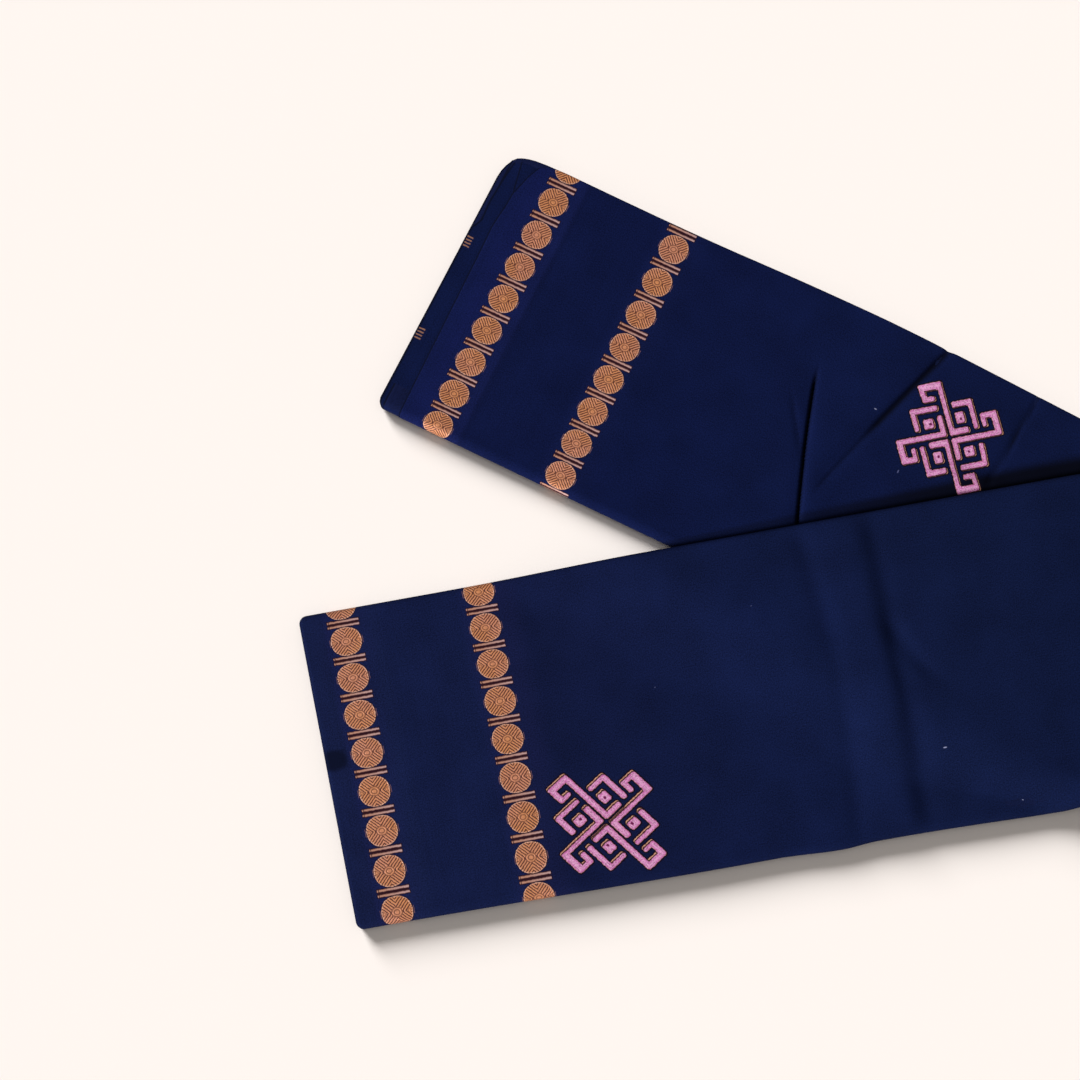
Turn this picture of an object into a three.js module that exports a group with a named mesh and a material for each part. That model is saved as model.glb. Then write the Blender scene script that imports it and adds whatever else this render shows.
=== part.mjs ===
import * as THREE from 'three';

// A navy cotton saree as it comes from the shop: folded lengthways into a long flat strip, and the strip
// turned back on itself, so that two limbs lie in a sideways V with the lower limb on top of the upper one.
// Millimetres, +Z up. Every stretch of cloth is a thin wall, and all layers between are one rounded solid.

// Driving dimensions
const STACK = 11;
const WALL = 1.2;
const SEAM = 0.3;
const ROUND_SIDE_REACH = 7;
const TURN_STEPS = 8;
const LEVELS = 10;
const WRAP_LEVELS = 8;
const LAYER_GROUP_DEPTH = 1.1;
const FOLD_SIDE_INSET = 0.8;
const CORNER_FADE = 16;
const TOP_CLOTH_SET_BACK = 15.5;
const CORNER_SET_BACK = 10.5;
const CORNER_SET_BACK_WIDTH = 34;
const LIFT_LENGTH = 130;
const LIFT_CLEARANCE = 15;

const INSIDE_WALL = WALL + SEAM;

// Each limb starts at its free end, where the saree's two woven selvedges lie, and runs to the turn.
const UPPER = {
  x: -71.4, y: 202.7, heading: -26.08, bend: -2.82, bendFrom: 285, bendTo: 365,
  endSlope: 0, roundCorner: 8, foldCorner: 15,
};
const LOWER = {
  x: -150.5, y: -169.5, heading: 10.23, bend: 0, bendFrom: 285, bendTo: 365,
  endSlope: -0.037, roundCorner: 6, foldCorner: 7,
};

// Half widths from the limb's centre line: round is the side of the single wrap, fold the layered side.
const UPPER_WIDTHS = [
  { s: 0, round: 114.5, fold: 113.6 },
  { s: 600, round: 114.5, fold: 113.6 },
];
const LOWER_WIDTHS = [
  { s: 0, round: 111.3, fold: 113.8 },
  { s: 300, round: 114.6, fold: 114.6 },
  { s: 500, round: 117.4, fold: 115.2 },
  { s: 600, round: 114.5, fold: 113.6 },
];

// Largest folds in each limb's own sizes: s = at + lean * t + curve * t * t, between the two t values.
const UPPER_RELIEF = [
  { at: 298.3, lean: -0.34, curve: 0.0009, from: -112, to: 66, depth: 2.4, width: 5.5 },
  { at: 292.0, lean: -0.65, curve: 0, from: -12, to: 34, depth: 0.9, width: 5 },
  { at: 327.8, lean: 0.285, curve: 0, from: -30, to: 112, depth: 2.0, width: 5.5 },
  { at: 428.5, lean: 0.045, curve: 0, from: 24, to: 110, depth: 1.3, width: 5.5 },
];
const LOWER_RELIEF = [
  { at: 365, lean: 0, curve: -0.0007, from: -114, to: 114, depth: 1.7, width: 8 },
  { at: 388, lean: 0.01, curve: 0, from: -114, to: 114, depth: -1.2, width: 11 },
  { at: 410.5, lean: 0.02, curve: 0, from: -114, to: 114, depth: 1.9, width: 8 },
  { at: 432, lean: 0.6, curve: 0, from: -28, to: 6, depth: 0.8, width: 7 },
];

// Stations along the limbs, closer where the cloth is creased.
const UPPER_END_ROWS = [0.2, 6, 15.2];
const UPPER_ROWS = [15.8, 26, 90, 170, 240, 268, 278, 286, 294, 302, 310, 318, 326, 334, 342, 350, 360, 380,
  405, 417, 425, 433, 442, 465, 505, 535];
const LOWER_ROWS = [0.2, 9, 40, 100, 170, 225, 255, 280, 305, 330, 345, 354, 362, 370, 379, 388, 397, 406,
  415, 424, 440, 458, 476, 494, 512, 530, 548, 566, 584];

// Stations across a limb, from the layered side to where the round side begins.
const ACROSS = [0, 0.02, 0.06, 0.15, 0.28, 0.42, 0.56, 0.7, 0.84, 0.95, 1];

const NAVY = 0x131a3f;
const NAVY_DEEP = 0x10163a;
const NAVY_TURN = 0x12183c;
const NAVY_STEP = 0x171d49;

function smooth(value) {
  const x = Math.min(1, Math.max(0, value));
  return x * x * (3 - 2 * x);
}

function radians(degrees) {
  return degrees * Math.PI / 180;
}

// Centre line of a limb: straight, with one shallow arc where the strip bends in its own plane.
function onLimb(limb, s, t) {
  const start = radians(limb.heading);
  const turn = radians(limb.bend);
  const arcLength = limb.bendTo - limb.bendFrom;
  const before = Math.min(s, limb.bendFrom);
  let x = limb.x + before * Math.cos(start);
  let y = limb.y + before * Math.sin(start);
  let heading = start;
  if (s > limb.bendFrom) {
    const along = Math.min(s, limb.bendTo) - limb.bendFrom;
    heading = start + turn * along / arcLength;
    const middle = (start + heading) / 2;
    x += along * Math.cos(middle);
    y += along * Math.sin(middle);
  }
  if (s > limb.bendTo) {
    x += (s - limb.bendTo) * Math.cos(heading);
    y += (s - limb.bendTo) * Math.sin(heading);
  }
  return { x: x - t * Math.sin(heading), y: y + t * Math.cos(heading) };
}

// The turn lies where the two centre lines cross, along the line that halves the angle between them.
const upperHeading = radians(UPPER.heading + UPPER.bend);
const lowerHeading = radians(LOWER.heading);
const FOLD_HALF_ANGLE = (lowerHeading - upperHeading) / 2;
const FOLD_HEADING = (upperHeading + lowerHeading + Math.PI) / 2;
const FOLD = crossing();

function crossing() {
  const from = onLimb(UPPER, UPPER.bendTo, 0);
  const dx = from.x - LOWER.x;
  const dy = from.y - LOWER.y;
  const det = Math.sin(lowerHeading - upperHeading);
  const upperRun = (dy * Math.cos(lowerHeading) - dx * Math.sin(lowerHeading)) / det;
  const lowerRun = (dy * Math.cos(upperHeading) - dx * Math.sin(upperHeading)) / det;
  return {
    x: LOWER.x + lowerRun * Math.cos(lowerHeading),
    y: LOWER.y + lowerRun * Math.sin(lowerHeading),
    upper: UPPER.bendTo + upperRun,
    lower: lowerRun,
  };
}

function halfWidths(table, s) {
  const last = table.length - 1;
  let row = 0;
  while (row < last - 1 && s > table[row + 1].s) {
    row += 1;
  }
  const a = table[row];
  const b = table[row + 1];
  const part = smooth((s - a.s) / (b.s - a.s));
  return { round: a.round + (b.round - a.round) * part, fold: a.fold + (b.fold - a.fold) * part };
}

// Depth of the creases at one place of a limb, fading out at their ends.
function relief(table, s, t) {
  let depth = 0;
  for (const crease of table) {
    const off = (s - crease.at - crease.lean * t - crease.curve * t * t) / crease.width;
    const ends = smooth((t - crease.from) / 12) * smooth((crease.to - t) / 12);
    depth += crease.depth * ends * Math.exp(-off * off);
  }
  return depth;
}

// Height of the lower limb's underside: on the ground, then up over the round side of the upper limb.
function underside(x, y) {
  let inside = -Infinity;
  for (const degrees of [UPPER.heading, UPPER.heading + UPPER.bend]) {
    const corner = onLimb(UPPER, (UPPER.bendFrom + UPPER.bendTo) / 2, 0);
    const away = -(x - corner.x) * Math.sin(radians(degrees)) + (y - corner.y) * Math.cos(radians(degrees));
    inside = Math.max(inside, away + UPPER_WIDTHS[0].round);
  }
  return (STACK + SEAM) * smooth((inside + LIFT_CLEARANCE + LIFT_LENGTH) / LIFT_LENGTH);
}

// Rows run square across a limb and lean over to the fold line near the turn.
function rowLean(limb, s, foldAt, foldLean) {
  const nearEnd = limb.endSlope * Math.max(0, 1 - s / 420);
  return nearEnd + foldLean * smooth((s - foldAt + 170) / 170);
}

// How far a row of the free end steps back at the rounded corners.
function cornerStep(limb, s, t, widths) {
  const toFold = limb.foldCorner - (widths.fold - t);
  const toRound = limb.roundCorner - (widths.round + t);
  let step = 0;
  if (toFold > 0) {
    step = limb.foldCorner - Math.sqrt(Math.max(0, limb.foldCorner ** 2 - toFold ** 2));
  } else if (toRound > 0) {
    step = limb.roundCorner - Math.sqrt(Math.max(0, limb.roundCorner ** 2 - toRound ** 2));
  }
  return step * Math.max(0, 1 - s / CORNER_FADE);
}

// A point of the strip: t across it, and level counted from the underside of the upper limb, which is 0.
// The lower limb lies the other way up, so there the same level counts down from its top.
function place(row, t, level, push = 0) {
  if (row.part === 'turn') {
    const along = t / Math.cos(FOLD_HALF_ANGLE);
    const reach = STACK - level + SEAM / 2;
    const out = Math.sin(row.angle) * reach;
    return new THREE.Vector3(
      FOLD.x + along * Math.cos(FOLD_HEADING) + out * Math.sin(FOLD_HEADING),
      FOLD.y + along * Math.sin(FOLD_HEADING) - out * Math.cos(FOLD_HEADING),
      STACK + SEAM / 2 - Math.cos(row.angle) * reach,
    );
  }
  const isUpper = row.part === 'upper';
  const limb = isUpper ? UPPER : LOWER;
  const foldAt = isUpper ? FOLD.upper : FOLD.lower;
  const foldLean = Math.tan(FOLD_HALF_ANGLE) * (isUpper ? -1 : 1);
  const lean = rowLean(limb, row.s, foldAt, foldLean);
  const widths = rowWidths(row);
  const s = row.s + lean * t + cornerStep(limb, row.s, t, widths) + (row.setBack ? row.setBack(t) : 0) + push;
  const at = onLimb(limb, s, t);
  const height = isUpper ? level : STACK - level;
  const share = Math.min(1, height / (STACK - INSIDE_WALL));
  const depth = relief(isUpper ? UPPER_RELIEF : LOWER_RELIEF, s, t) * share;
  const ground = isUpper ? 0 : underside(at.x, at.y);
  return new THREE.Vector3(at.x, at.y, ground + height - depth);
}

function rowWidths(row) {
  if (row.part === 'upper') {
    return halfWidths(UPPER_WIDTHS, row.s);
  }
  return halfWidths(LOWER_WIDTHS, row.part === 'turn' ? LOWER_WIDTHS.at(-1).s : row.s);
}

function across(widths, part) {
  return widths.fold - part * (widths.fold + widths.round - ROUND_SIDE_REACH);
}

// Point on the round side, from its up-facing end (step 0) to its other end, inset by a wall's depth.
function roundSide(widths, step, inset) {
  const angle = Math.PI / 2 - step * Math.PI / LEVELS;
  return {
    t: -(widths.round - ROUND_SIDE_REACH) - Math.cos(angle) * (ROUND_SIDE_REACH - inset),
    level: STACK / 2 + Math.sin(angle) * (STACK / 2 - inset),
  };
}

// Closed solid from rings of equal count. Where crossed says so, a quad is split along its other diagonal,
// so that two surfaces that face each other over a seam are folded along the same lines.
function makeMesh(name, rings, caps, color, crossed = () => false) {
  const points = [];
  const faces = [];
  const count = rings[0].length;
  for (const ring of rings) {
    points.push(...ring);
  }
  for (let r = 0; r < rings.length - 1; r += 1) {
    for (let j = 0; j < count; j += 1) {
      const next = (j + 1) % count;
      const a = r * count + j;
      const b = r * count + next;
      const c = (r + 1) * count + next;
      const d = (r + 1) * count + j;
      if (crossed(j, count)) {
        faces.push(a, d, b, b, d, c);
      } else {
        faces.push(a, c, b, a, d, c);
      }
    }
  }
  caps(points, faces, count, rings.length);
  const geometry = new THREE.BufferGeometry();
  const flat = points.flatMap((point) => [point.x, point.y, point.z]);
  geometry.setAttribute('position', new THREE.Float32BufferAttribute(flat, 3));
  geometry.setIndex(faces);
  if (signedVolume(points, faces) < 0) {
    for (let f = 0; f < faces.length; f += 3) {
      [faces[f + 1], faces[f + 2]] = [faces[f + 2], faces[f + 1]];
    }
    geometry.setIndex(faces);
  }
  geometry.computeVertexNormals();
  const material = new THREE.MeshStandardMaterial({ color, roughness: 0.85, metalness: 0 });
  const mesh = new THREE.Mesh(geometry, material);
  mesh.name = name;
  return mesh;
}

function signedVolume(points, faces) {
  let volume = 0;
  const normal = new THREE.Vector3();
  for (let f = 0; f < faces.length; f += 3) {
    normal.crossVectors(points[faces[f + 1]], points[faces[f + 2]]);
    volume += points[faces[f]].dot(normal) / 6;
  }
  return volume;
}

// One stretch of cloth: a wall over a face of the strip that wraps round its round side.
function clothWall(name, rows, facesUpOnUpper, color) {
  const rings = rows.map((row) => {
    const widths = rowWidths(row);
    const outer = [];
    const inner = [];
    for (const part of ACROSS.slice(0, -1)) {
      const t = across(widths, part);
      outer.push(place(row, t, facesUpOnUpper ? STACK - row.drop : 0));
      inner.push(place(row, t, facesUpOnUpper ? STACK - WALL - row.drop : WALL));
    }
    for (let step = 0; step <= WRAP_LEVELS; step += 1) {
      const turned = facesUpOnUpper ? step : LEVELS - step;
      const out = roundSide(widths, turned, row.drop);
      const within = roundSide(widths, turned, WALL + row.drop);
      outer.push(place(row, out.t, out.level));
      inner.push(place(row, within.t, within.level));
    }
    return [...outer, ...inner.reverse()];
  });
  const crossed = (j, count) => (j >= count / 2) === facesUpOnUpper;
  return makeMesh(name, rings, capWall, color, crossed);
}

// A wall's two cut ends: quads between its outer and inner line.
function capWall(points, faces, count, ringCount) {
  const last = (ringCount - 1) * count;
  for (let j = 0; j < count / 2 - 1; j += 1) {
    const a = j;
    const b = j + 1;
    const c = count - 2 - j;
    const d = count - 1 - j;
    faces.push(a, b, c, a, c, d);
    faces.push(last + a, last + c, last + b, last + a, last + d, last + c);
  }
}

// The layered side: the folded edges of the layers, in groups that bulge one above the other.
function foldSideInset(step) {
  const bulge = step % 2 === 0 ? LAYER_GROUP_DEPTH : 0;
  const uneven = 0.35 * Math.sin(step * 2.3);
  return FOLD_SIDE_INSET + bulge + Math.abs(uneven);
}

// Height of one layer line on a layered edge, a little in from both faces, which are rounded off there.
function layerLevel(row, step) {
  return row.top + (row.bottom - row.top) * (0.05 + 0.9 * step / LEVELS);
}

// All hidden layers of the strip as one solid, from the upper limb's end round the turn to the lower one's.
function hiddenLayers(rows) {
  const rings = rows.map((row) => {
    const widths = rowWidths(row);
    const ring = [];
    const put = (t, level) => ring.push(place(row, t, level));
    const inPlan = (part) => across(widths, part);
    for (const part of ACROSS.slice(1)) {
      put(inPlan(part), row.top);
    }
    for (let step = 1; step < LEVELS; step += 1) {
      const point = roundSide(widths, step, INSIDE_WALL + row.drop);
      put(point.t, point.level);
    }
    for (const part of ACROSS.slice(1).reverse()) {
      put(inPlan(part), row.bottom);
    }
    for (let step = LEVELS; step >= 0; step -= 1) {
      put(widths.fold - foldSideInset(step), layerLevel(row, step));
    }
    return ring;
  });
  return makeMesh('hidden_layers', rings, (points, faces, count, ringCount) => {
    capLayers(points, faces, 0, rows[0], 1);
    capLayers(points, faces, (ringCount - 1) * count, rows[ringCount - 1], -1);
  }, NAVY_DEEP);
}

// A free end of the hidden layers: a grid whose rows step in and out as the layers' selvedges do.
function capLayers(points, faces, first, row, sign) {
  const columns = ACROSS.length;
  const side = columns - 1;
  const ringIndex = (step, column) => {
    if (column === 0) {
      return first + side + LEVELS - 1 + side + (LEVELS - step);
    }
    if (step === 0) {
      return first + column - 1;
    }
    if (step === LEVELS) {
      return first + side + LEVELS - 1 + (side - column);
    }
    if (column === side) {
      return first + side + step - 1;
    }
    return -1;
  };
  const grid = [];
  const widths = rowWidths(row);
  for (let step = 0; step <= LEVELS; step += 1) {
    grid.push([]);
    for (let column = 0; column < columns; column += 1) {
      let index = ringIndex(step, column);
      if (index < 0) {
        const level = layerLevel(row, step);
        const bulge = step % 2 === 0 ? LAYER_GROUP_DEPTH : 0.3 * Math.abs(Math.sin(step * 1.7));
        index = points.length;
        points.push(place(row, across(widths, ACROSS[column]), level, bulge));
      }
      grid[step].push(index);
    }
  }
  for (let step = 0; step < LEVELS; step += 1) {
    for (let column = 0; column < side; column += 1) {
      const a = grid[step][column];
      const b = grid[step][column + 1];
      const c = grid[step + 1][column + 1];
      const d = grid[step + 1][column];
      if (sign > 0) {
        faces.push(a, b, c, a, c, d);
      } else {
        faces.push(a, c, b, a, d, c);
      }
    }
  }
}

// Rows of the strip
const upperFoldFace = (s) => ({ part: 'upper', s, top: STACK - INSIDE_WALL, bottom: 0, drop: 0 });
const lowerFace = (s) => ({ part: 'lower', s, top: STACK, bottom: INSIDE_WALL, drop: 0 });
const turnFace = (angle) => ({ part: 'turn', angle, top: STACK, bottom: INSIDE_WALL, drop: 0 });

const turnRows = [];
for (let step = 0; step <= TURN_STEPS; step += 1) {
  turnRows.push(turnFace(Math.PI * step / TURN_STEPS));
}

// The top cloth's selvedge lies further back than the layer below it, most of all at the layered corner.
const topClothEdge = (t) => {
  const corner = (t - UPPER_WIDTHS[0].fold + CORNER_SET_BACK_WIDTH) / CORNER_SET_BACK_WIDTH;
  return CORNER_SET_BACK * Math.max(0, corner);
};
const upperMain = UPPER_ROWS.map(upperFoldFace);
for (const row of upperMain) {
  const fade = Math.max(0, 1 - (row.s - TOP_CLOTH_SET_BACK) / 60);
  row.setBack = (t) => topClothEdge(t) * fade;
}
const upperEnd = UPPER_END_ROWS.map((s) => ({
  part: 'upper', s, top: STACK - 2 * INSIDE_WALL, bottom: 0, drop: INSIDE_WALL,
}));
upperEnd.at(-1).setBack = topClothEdge;

const atTurn = FOLD.upper;
const upperLast = upperFoldFace(atTurn - 3);
const nearTurn = [
  upperLast,
  { ...upperFoldFace(atTurn - 2.4), top: STACK },
  { ...upperFoldFace(atTurn - 0.8), top: STACK },
];
const lowerRows = LOWER_ROWS.map(lowerFace).reverse();

const strip = [...upperEnd, ...upperMain, ...nearTurn, ...turnRows, ...lowerRows];
const lowerClothRows = [lowerFace(FOLD.lower - SEAM), ...lowerRows];

const saree = new THREE.Group();
saree.add(
  hiddenLayers(strip),
  clothWall('upper_limb_cloth', [...upperMain, upperLast], true, NAVY),
  clothWall('upper_end_second_layer', upperEnd, true, NAVY_STEP),
  clothWall('turn_cloth', turnRows, false, NAVY_TURN),
  clothWall('lower_limb_cloth', lowerClothRows, false, NAVY),
);

// The origin is under the middle of the folded saree, on the surface it lies on.
const box = new THREE.Box3().setFromObject(saree);
const middle = box.getCenter(new THREE.Vector3());
saree.position.set(-middle.x, -middle.y, -box.min.z);
saree.updateMatrixWorld(true);

export default saree;
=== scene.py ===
import math

import bmesh
import bpy
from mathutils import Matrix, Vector, noise


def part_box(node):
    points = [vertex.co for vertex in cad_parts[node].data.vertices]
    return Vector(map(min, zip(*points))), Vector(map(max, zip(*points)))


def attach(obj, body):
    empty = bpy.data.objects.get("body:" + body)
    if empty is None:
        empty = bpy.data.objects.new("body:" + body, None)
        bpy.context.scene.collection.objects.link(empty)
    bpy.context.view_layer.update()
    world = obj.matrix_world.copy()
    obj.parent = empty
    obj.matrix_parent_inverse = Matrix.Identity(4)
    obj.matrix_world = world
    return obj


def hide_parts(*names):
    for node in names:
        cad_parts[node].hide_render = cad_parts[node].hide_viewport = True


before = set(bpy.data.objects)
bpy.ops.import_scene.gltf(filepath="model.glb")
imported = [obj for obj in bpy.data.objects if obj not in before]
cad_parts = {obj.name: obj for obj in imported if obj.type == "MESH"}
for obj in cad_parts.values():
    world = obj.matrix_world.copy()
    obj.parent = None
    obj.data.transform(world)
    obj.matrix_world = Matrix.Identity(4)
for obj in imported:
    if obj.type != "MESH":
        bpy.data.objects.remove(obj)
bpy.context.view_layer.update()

# Camera
# A 50 mm lens looks almost straight down on the folded saree, from a little towards its lower edge. The
# place it looks at is left of the saree's middle, so that the turn at the right lies just outside the frame.
MM = 0.001
AIM = Vector((-149.75, -11.2, 0)) * MM
CAMERA_DISTANCE = 1104 * MM
CAMERA_TILT = math.radians(10.84)


def point_at(obj, place, aim):
    """Turns an object's -Z towards the aim, with its +Y as near to world up as that leaves."""
    obj.location = place
    obj.rotation_euler = (aim - place).to_track_quat("-Z", "Y").to_euler()


camera = bpy.data.objects.new("camera", bpy.data.cameras.new("camera"))
camera.data.lens = 50
camera.data.sensor_width = 36
bpy.context.collection.objects.link(camera)
above = Vector((0, -math.sin(CAMERA_TILT), math.cos(CAMERA_TILT)))
point_at(camera, AIM + above * CAMERA_DISTANCE, AIM)
bpy.context.scene.camera = camera
bpy.context.scene.view_settings.view_transform = "Standard"

# Surface and light
# The saree lies on plain cream card. A soft light from the upper left throws its shadow on the card, a faint
# one from above lifts that shadow, and one from the left, a little below, rakes over the cloth's creases.
CARD = "#FFF7F2"
CARD_BRIGHTNESS = 0.92
CARD_HALF_SIZE = 12
CARD_LIGHT = 6.5
CARD_LIGHT_FROM = (-49, 67, 34)
CARD_LIGHT_ANGLE = math.radians(24)
CARD_FILL = 0.3
CARD_FILL_ANGLE = math.radians(50)
CLOTH_LIGHT = 4.9
CLOTH_LIGHT_FROM = (-80, -35, 50)
CLOTH_LIGHT_ANGLE = math.radians(10)
AMBIENT = 0.22


def linear(hex_colour, gain=1.0):
    """An sRGB hex colour as linear red, green, blue and alpha."""
    values = [int(hex_colour[i:i + 2], 16) / 255 for i in (1, 3, 5)]
    turned = [v / 12.92 if v <= 0.04045 else ((v + 0.055) / 1.055) ** 2.4 for v in values]
    return [v * gain for v in turned] + [1.0]


def add_node(tree, kind, links=(), out=0, **settings):
    """Adds one shader node with its settings, and gives one of its outputs.

    links are sockets or plain values, in the order of the node's inputs or by their number or name.
    """
    node = tree.nodes.new("ShaderNode" + kind)
    for setting, value in settings.items():
        setattr(node, setting, value)
    for name, value in links.items() if isinstance(links, dict) else enumerate(links):
        if isinstance(value, bpy.types.NodeSocket):
            tree.links.new(value, node.inputs[name])
        else:
            node.inputs[name].default_value = value
    return node.outputs[out]


def cream_card():
    """Matt uncoated card, without gloss."""
    material = bpy.data.materials.new("cream_card")
    material.use_nodes = True
    surface = material.node_tree.nodes["Principled BSDF"]
    surface.inputs["Base Color"].default_value = linear(CARD, CARD_BRIGHTNESS)
    surface.inputs["Roughness"].default_value = 1.0
    surface.inputs["Specular IOR Level"].default_value = 0.0
    return material


card_mesh = bmesh.new()
bmesh.ops.create_grid(card_mesh, x_segments=1, y_segments=1, size=CARD_HALF_SIZE)
card = bpy.data.objects.new("card", bpy.data.meshes.new("card"))
card_mesh.to_mesh(card.data)
card_mesh.free()
card.data.materials.append(cream_card())
bpy.context.collection.objects.link(card)

world = bpy.data.worlds.new("studio")
world.use_nodes = True
world.node_tree.nodes["Background"].inputs["Color"].default_value = linear("#FFFAF4")
world.node_tree.nodes["Background"].inputs["Strength"].default_value = AMBIENT
bpy.context.scene.world = world


def soft_sun(name, comes_from, strength, angle):
    """A far soft light that comes from the given direction."""
    light = bpy.data.lights.new(name, "SUN")
    light.energy = strength
    light.angle = angle
    lamp = bpy.data.objects.new(name, light)
    bpy.context.collection.objects.link(lamp)
    point_at(lamp, Vector(comes_from).normalized() * 2, Vector((0, 0, 0)))
    return lamp


card_light = soft_sun("card_light", CARD_LIGHT_FROM, CARD_LIGHT, CARD_LIGHT_ANGLE)
cloth_light = soft_sun("cloth_light", CLOTH_LIGHT_FROM, CLOTH_LIGHT, CLOTH_LIGHT_ANGLE)
card_fill = soft_sun("card_fill", (0, 0, 1), CARD_FILL, CARD_FILL_ANGLE)
lit_by_card_light = bpy.data.collections.new("lit_by_card_light")
lit_by_card_light.objects.link(card)
card_light.light_linking.receiver_collection = lit_by_card_light
card_fill.light_linking.receiver_collection = lit_by_card_light
lit_by_cloth_light = bpy.data.collections.new("lit_by_cloth_light")
cloth_light.light_linking.receiver_collection = lit_by_cloth_light

# Folded strip
# The saree is one loom piece, 5.5 m long. It is halved three times and then folded in three like a letter,
# which makes 24 layers. The strip is turned back on itself, so the lower limb lies on the upper one.
turn_low, turn_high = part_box("turn_cloth")
# In mm: the gap between the limbs, a limb's height, one layer's share of it, the outer and the inner cloth's
# own thickness, how far the round side's folds bulge, and what of the stack a crease always leaves
SEAM = 0.3
STACK = ((turn_high[2] - turn_low[2]) / MM - SEAM) / 2
LAYERS = 24
PITCH = STACK / LAYERS
THREAD = 0.3
INNER_THREAD = 0.28
ROUND_REACH = 7.0
INSIDE_WALL = 1.5
UPPER = {
    "x": -221.15, "y": 191.5, "heading": -26.08, "bend": -2.82, "end_slope": 0.0,
    "round_corner": (8.0, 8.0), "fold_corner": (11.0, 22.0),
}
LOWER = {
    "x": -300.25, "y": -180.7, "heading": 10.23, "bend": 0.0, "end_slope": -0.037,
    "round_corner": (6.0, 6.0), "fold_corner": (7.0, 7.0),
}
# The upper limb bends a little between these places along it
BEND_FROM = 285
BEND_TO = 365
# Each place along the limb, with its half width to the round side and to the layered side
UPPER_WIDTHS = [(0, 114.5, 113.6), (150, 114.5, 112.1), (270, 114.5, 113.6), (600, 114.5, 113.6)]
LOWER_WIDTHS = [(0, 111.6, 113.8), (300, 115.6, 114.6), (348, 117.7, 114.7), (374, 116.3, 114.8),
                (535, 119.4, 115.2), (600, 114.5, 113.6)]
# The layered side draws in towards the upper free end
END_DRAWN_IN = 5.4
END_DRAWN_IN_OVER = 10
# The woven rows lean a little less than the free end does. The end's lean fades out along the limb, the
# turn's lean and flatness come in over its last stretch, and a layer's set-back is made up in its first
WEAVE_LEAN = 0.87
END_LEAN_FADES = 420
TURN_LEAN_OVER = 170
FLAT_BEFORE_TURN = 30
SET_BACK_FADES = 60
# The lower limb's rise on to the upper one: how long it is and how far before the upper limb it ends, first
# at the lower limb's round side and then LIFT_SIDE mm in from there
LIFT_LENGTH = (40, 78)
LIFT_CLEARANCE = (8, 15)
LIFT_SIDE = 60


def smooth(value):
    """From 0 to 1 without a corner."""
    x = min(1.0, max(0.0, value))
    return x * x * (3 - 2 * x)


def on_limb(limb, s, t):
    """Plan position, in mm, at s along a limb's centre line and t across it towards the layered side."""
    start = math.radians(limb["heading"])
    before = min(s, BEND_FROM)
    x = limb["x"] + before * math.cos(start)
    y = limb["y"] + before * math.sin(start)
    heading = start
    if s > BEND_FROM:
        along = min(s, BEND_TO) - BEND_FROM
        heading = start + math.radians(limb["bend"]) * along / (BEND_TO - BEND_FROM)
        middle = (start + heading) / 2
        x += along * math.cos(middle)
        y += along * math.sin(middle)
    if s > BEND_TO:
        x += (s - BEND_TO) * math.cos(heading)
        y += (s - BEND_TO) * math.sin(heading)
    return x - t * math.sin(heading), y + t * math.cos(heading)


def where_centre_lines_cross():
    """The middle of the turn, and how far along each limb it lies."""
    upper = math.radians(UPPER["heading"] + UPPER["bend"])
    lower = math.radians(LOWER["heading"])
    x, y = on_limb(UPPER, BEND_TO, 0)
    dx = x - LOWER["x"]
    dy = y - LOWER["y"]
    det = math.sin(lower - upper)
    upper_run = (dy * math.cos(lower) - dx * math.sin(lower)) / det
    lower_run = (dy * math.cos(upper) - dx * math.sin(upper)) / det
    turn_x = LOWER["x"] + lower_run * math.cos(lower)
    turn_y = LOWER["y"] + lower_run * math.sin(lower)
    return turn_x, turn_y, BEND_TO + upper_run, lower_run


FOLD_X, FOLD_Y, UPPER_LENGTH, LOWER_LENGTH = where_centre_lines_cross()
FOLD_HALF_ANGLE = math.radians(LOWER["heading"] - UPPER["heading"] - UPPER["bend"]) / 2
FOLD_HEADING = math.radians(LOWER["heading"] + UPPER["heading"] + UPPER["bend"] + 180) / 2


def half_widths(part, s):
    """Half widths towards the round side and towards the layered side."""
    table = UPPER_WIDTHS if part == "upper" else LOWER_WIDTHS
    if part == "turn":
        return table[-1][1:]
    for low, high in zip(table, table[1:]):
        if s <= high[0] or high is table[-1]:
            share = smooth((s - low[0]) / (high[0] - low[0]))
            drawn_in = END_DRAWN_IN * math.exp(-s / END_DRAWN_IN_OVER) if part == "upper" else 0
            return low[1] + (high[1] - low[1]) * share, low[2] + (high[2] - low[2]) * share - drawn_in


def lift(x, y, from_round_side):
    """Height of the lower limb's underside: on the card, then up over the upper limb's round side."""
    corner_x, corner_y = on_limb(UPPER, (BEND_FROM + BEND_TO) / 2, 0)
    inside = -1e9
    for degrees in (UPPER["heading"], UPPER["heading"] + UPPER["bend"]):
        turned = math.radians(degrees)
        away = (y - corner_y) * math.cos(turned) - (x - corner_x) * math.sin(turned)
        inside = max(inside, away + UPPER_WIDTHS[0][1])
    share = smooth(from_round_side / LIFT_SIDE)
    length = LIFT_LENGTH[0] + (LIFT_LENGTH[1] - LIFT_LENGTH[0]) * share
    clearance = LIFT_CLEARANCE[0] + (LIFT_CLEARANCE[1] - LIFT_CLEARANCE[0]) * share
    return (STACK + SEAM) * smooth((inside + clearance + length) / length)


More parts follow.
